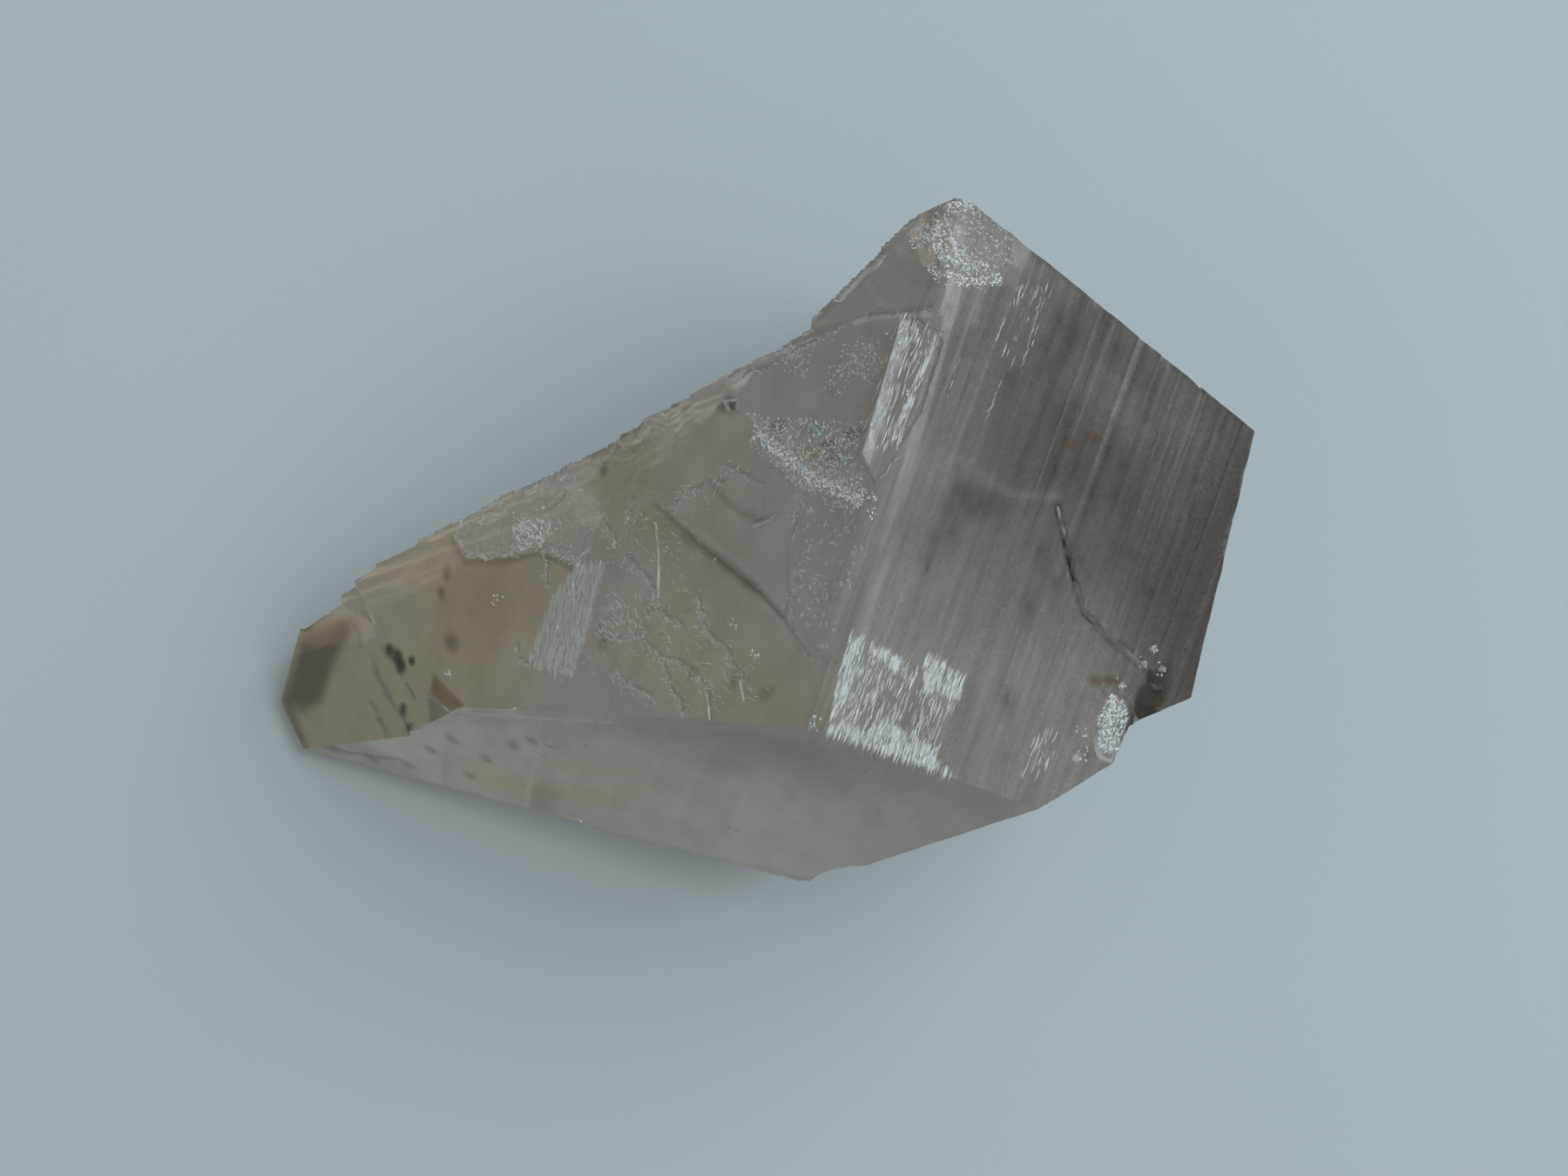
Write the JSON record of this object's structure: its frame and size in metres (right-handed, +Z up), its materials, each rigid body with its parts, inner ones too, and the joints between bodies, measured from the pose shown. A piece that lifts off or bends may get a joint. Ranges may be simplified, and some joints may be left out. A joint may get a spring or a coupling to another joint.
{
  "type": "smoky quartz crystal",
  "caption": "Smoky quartz crystal lying on a prism face: striated top face, stepped tip face, smooth front face, broken end.",
  "frame": {"origin": "middle of the plane the crystal rests on, under the middle of its bounding box", "axes": "+Z up from the rest face to the big striated prism face; the tip points towards -X"},
  "size_m": [0.0742, 0.0506, 0.0362],
  "materials": {
    "smoky_quartz": "see-through smoky grey quartz, clouded inside, with tan stains and fine growth lines"
  },
  "bodies": {
    "root": {"smoky_quartz_crystal": "smoky_quartz"}
  },
  "joints": []
}
